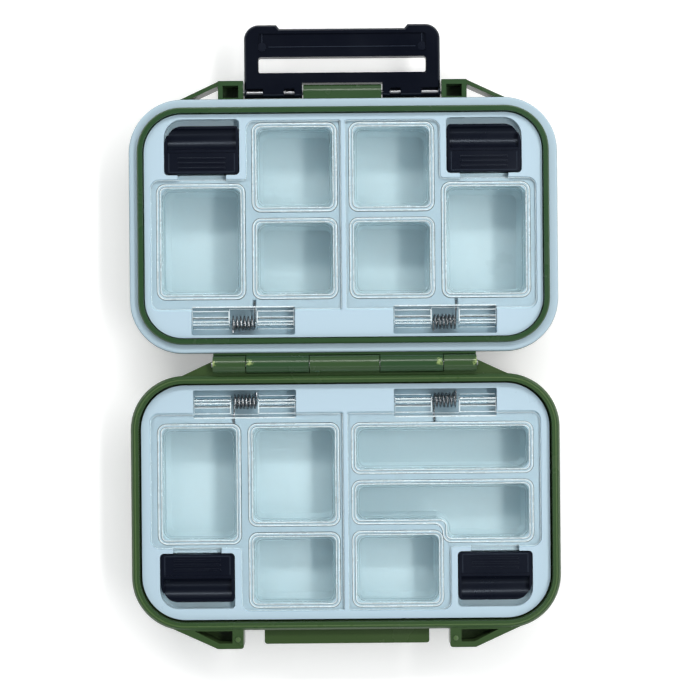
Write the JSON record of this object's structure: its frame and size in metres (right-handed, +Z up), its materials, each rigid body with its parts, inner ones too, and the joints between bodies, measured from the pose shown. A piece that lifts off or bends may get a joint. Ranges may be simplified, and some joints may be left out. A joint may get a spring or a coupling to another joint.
{
  "type": "fishing tackle cabinet",
  "caption": "Double-sided portable tackle box, open flat: hinged green half shells hold pale divided trays under clear sprung lids, with sliding release buttons and a latching carry handle.",
  "frame": {"origin": "centre of the base half's underside, on the surface that the open box lies on", "axes": "+X along the main hinge, +Y from the base half over the hinge to the cover half, +Z up out of the wells"},
  "size_m": [0.16, 0.2329, 0.0271],
  "materials": {
    "green_plastic": "moulded, dark green, soft gloss",
    "gasket_rubber": "pale blue-grey seal",
    "tray_plastic": "moulded, pale blue-white, satin",
    "clear_plastic": "clear moulded polystyrene",
    "black_plastic": "moulded, black, semi-gloss",
    "steel": "drawn steel wire and pin, bright"
  },
  "bodies": {
    "base": {"base_shell": "green_plastic", "base_tray": "tray_plastic", "main_hinge_pin": "steel", "base_lid_pin_left": "clear_plastic", "base_lid_spring_left": "steel", "base_button_spring_left": "steel", "base_lid_pin_right": "clear_plastic", "base_lid_spring_right": "steel", "base_button_spring_right": "steel"},
    "cover": {"cover_shell": "green_plastic", "cover_tray": "tray_plastic", "cover_gasket": "gasket_rubber", "handle_pin": "steel", "cover_lid_pin_left": "clear_plastic", "cover_lid_spring_left": "steel", "cover_button_spring_left": "steel", "cover_lid_pin_right": "clear_plastic", "cover_lid_spring_right": "steel", "cover_button_spring_right": "steel"},
    "handle": {"carry_handle": "black_plastic"},
    "base_lid_left": {"base_lid_left": "clear_plastic"},
    "base_button_left": {"base_button_left": "black_plastic"},
    "base_lid_right": {"base_lid_right": "clear_plastic"},
    "base_button_right": {"base_button_right": "black_plastic"},
    "cover_lid_left": {"cover_lid_left": "clear_plastic"},
    "cover_button_left": {"cover_button_left": "black_plastic"},
    "cover_lid_right": {"cover_lid_right": "clear_plastic"},
    "cover_button_right": {"cover_button_right": "black_plastic"}
  },
  "joints": [
    {"name": "cover_hinge", "type": "hinge", "parent": "base", "child": "cover", "pos_m": [0, 0.0516, 0.024], "axis": [1, 0, 0], "range_deg": [0, 180]},
    {"name": "handle_pivot", "type": "hinge", "parent": "cover", "child": "handle", "pos_m": [0, 0.1532, 0.02], "axis": [1, 0, 0], "range_deg": [0, 90]},
    {"name": "base_lid_left_hinge", "type": "hinge", "parent": "base", "child": "base_lid_left", "pos_m": [-0.0376, 0.0376, 0.0186], "axis": [1, 0, 0], "range_deg": [-90, 0], "deforming": ["base_lid_spring_left"]},
    {"name": "base_lid_right_hinge", "type": "hinge", "parent": "base", "child": "base_lid_right", "pos_m": [0.0376, 0.0376, 0.0186], "axis": [1, 0, 0], "range_deg": [-90, 0], "deforming": ["base_lid_spring_right"]},
    {"name": "cover_lid_left_hinge", "type": "hinge", "parent": "cover", "child": "cover_lid_left", "pos_m": [-0.0376, 0.067, 0.022], "axis": [-1, 0, 0], "range_deg": [-90, 0], "deforming": ["cover_lid_spring_left"]},
    {"name": "cover_lid_right_hinge", "type": "hinge", "parent": "cover", "child": "cover_lid_right", "pos_m": [0.0376, 0.067, 0.022], "axis": [-1, 0, 0], "range_deg": [-90, 0], "deforming": ["cover_lid_spring_right"]},
    {"name": "base_button_left_slide", "type": "slide", "parent": "base", "child": "base_button_left", "axis": [0, 1, 0], "range_m": [-0.002, 0], "stiffness_N_per_m": 120, "deforming": ["base_button_spring_left"]},
    {"name": "base_button_right_slide", "type": "slide", "parent": "base", "child": "base_button_right", "axis": [0, 1, 0], "range_m": [-0.002, 0], "stiffness_N_per_m": 120, "deforming": ["base_button_spring_right"]},
    {"name": "cover_button_left_slide", "type": "slide", "parent": "cover", "child": "cover_button_left", "axis": [0, -1, 0], "range_m": [-0.002, 0], "stiffness_N_per_m": 120, "deforming": ["cover_button_spring_left"]},
    {"name": "cover_button_right_slide", "type": "slide", "parent": "cover", "child": "cover_button_right", "axis": [0, -1, 0], "range_m": [-0.002, 0], "stiffness_N_per_m": 120, "deforming": ["cover_button_spring_right"]}
  ]
}
